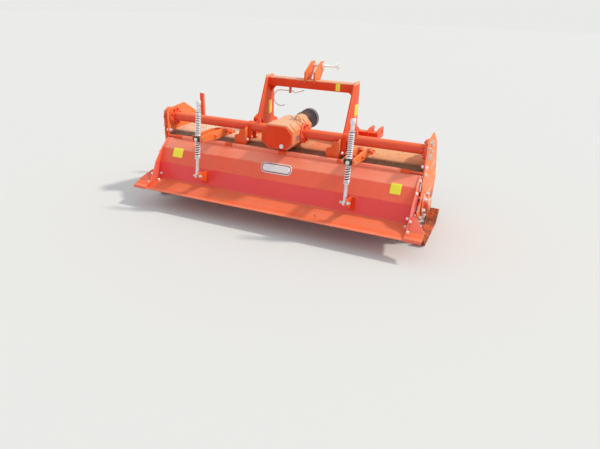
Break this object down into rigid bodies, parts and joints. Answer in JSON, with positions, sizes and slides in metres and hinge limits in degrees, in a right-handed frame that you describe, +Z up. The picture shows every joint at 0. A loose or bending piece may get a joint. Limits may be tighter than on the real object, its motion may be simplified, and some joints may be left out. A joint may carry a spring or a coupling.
{
  "type": "rotary tiller",
  "caption": "Rotary tiller: bladed rotor under a bent deck, side gear case, hinged rear hood on spring rods, hitch tower, skids and a sliding parking stand.",
  "frame": {"origin": "centre of the bounding box's base, on the ground under the skids", "axes": "+X to the machine's right, +Y the way it travels, +Z up"},
  "size_m": [2.226, 1.083, 1.075],
  "materials": {
    "orange": "satin, weathered",
    "worn_orange": "dusty, soil-scoured",
    "cast_orange": "painted, weathered",
    "black_paint": "satin",
    "zinc": "zinc-plated, dulled",
    "bare_steel": "soil-polished, rusty",
    "shaft_steel": "oiled",
    "black_plastic": "moulded"
  },
  "bodies": {
    "frame": {"main_deck": "worn_orange", "hinge_rod": "zinc", "left_side_plate": "orange", "right_side_plate": "orange", "left_cross_tube": "orange", "right_cross_tube": "orange", "gearbox_housing": "cast_orange", "gearbox_cover": "cast_orange", "input_guard": "black_plastic", "gear_case": "orange", "gear_case_cover": "orange", "right_bearing_housing": "cast_orange", "left_tower_plate": "orange", "right_tower_plate": "orange", "tower_cross_bar": "orange", "top_link_lugs": "orange", "top_link_pin": "zinc", "left_hitch_bracket": "orange", "right_hitch_bracket": "orange", "left_tube_bracket": "orange", "right_tube_bracket": "orange", "left_rod_arm": "orange", "right_rod_arm": "orange", "left_skid": "orange", "right_skid": "orange", "stand_socket": "orange"},
    "rotor": {"rotor_shaft": "black_paint", "rotor_blades": "bare_steel"},
    "input": {"input_shaft": "shaft_steel"},
    "hood": {"hood_sheet": "worn_orange", "left_hood_end": "worn_orange", "left_hood_wing": "worn_orange", "left_rod_bracket": "orange", "right_hood_end": "worn_orange", "right_hood_wing": "worn_orange", "right_rod_bracket": "orange"},
    "left_collar": {"left_rod_collar": "black_paint", "left_upper_spring": "zinc"},
    "right_collar": {"right_rod_collar": "black_paint", "right_upper_spring": "zinc"},
    "left_rod": {"left_spring_rod": "zinc", "left_lower_spring": "zinc"},
    "right_rod": {"right_spring_rod": "zinc", "right_lower_spring": "zinc"},
    "stand": {"stand_leg": "orange"},
    "hook": {"shaft_hook": "zinc"}
  },
  "joints": [
    {"name": "rotor_spin", "type": "hinge", "parent": "frame", "child": "rotor", "pos_m": [0, -0.0735, 0.24], "axis": [-1, 0, 0], "continuous": true},
    {"name": "input_spin", "type": "hinge", "parent": "frame", "child": "input", "pos_m": [0, 0.2015, 0.652], "axis": [0, 1, 0], "continuous": true},
    {"name": "hood_hinge", "type": "hinge", "parent": "frame", "child": "hood", "pos_m": [0, -0.1985, 0.49], "axis": [-1, 0, 0], "range_deg": [0, 15]},
    {"name": "stand_slide", "type": "slide", "parent": "frame", "child": "stand", "axis": [0, 0, 1], "range_m": [-0.088, 0]},
    {"name": "hook_swing", "type": "hinge", "parent": "frame", "child": "hook", "pos_m": [-0.178, 0.3015, 0.846], "axis": [1, 0, 0], "range_deg": [-80, 80]},
    {"name": "left_collar_pivot", "type": "hinge", "parent": "frame", "child": "left_collar", "pos_m": [-0.574, -0.4265, 0.568], "axis": [-1, 0, 0], "range_deg": [0, 13.4]},
    {"name": "left_rod_slide", "type": "slide", "parent": "left_collar", "child": "left_rod", "axis": [0, 0.1164, 0.9932], "range_m": [0, 0.0627], "deforming": ["left_lower_spring"]},
    {"name": "right_collar_pivot", "type": "hinge", "parent": "frame", "child": "right_collar", "pos_m": [0.574, -0.4265, 0.568], "axis": [-1, 0, 0], "range_deg": [0, 13.4]},
    {"name": "right_rod_slide", "type": "slide", "parent": "right_collar", "child": "right_rod", "axis": [0, 0.1164, 0.9932], "range_m": [0, 0.0627], "deforming": ["right_lower_spring"]}
  ],
  "couplings": [
    {"joint": "input_spin", "follows": "rotor_spin", "ratio": 2.25},
    {"joint": "left_collar_pivot", "follows": "hood_hinge", "ratio": 0.888},
    {"joint": "left_rod_slide", "follows": "hood_hinge", "m_per_rad": 0.2385},
    {"joint": "right_collar_pivot", "follows": "hood_hinge", "ratio": 0.888},
    {"joint": "right_rod_slide", "follows": "hood_hinge", "m_per_rad": 0.2385}
  ]
}
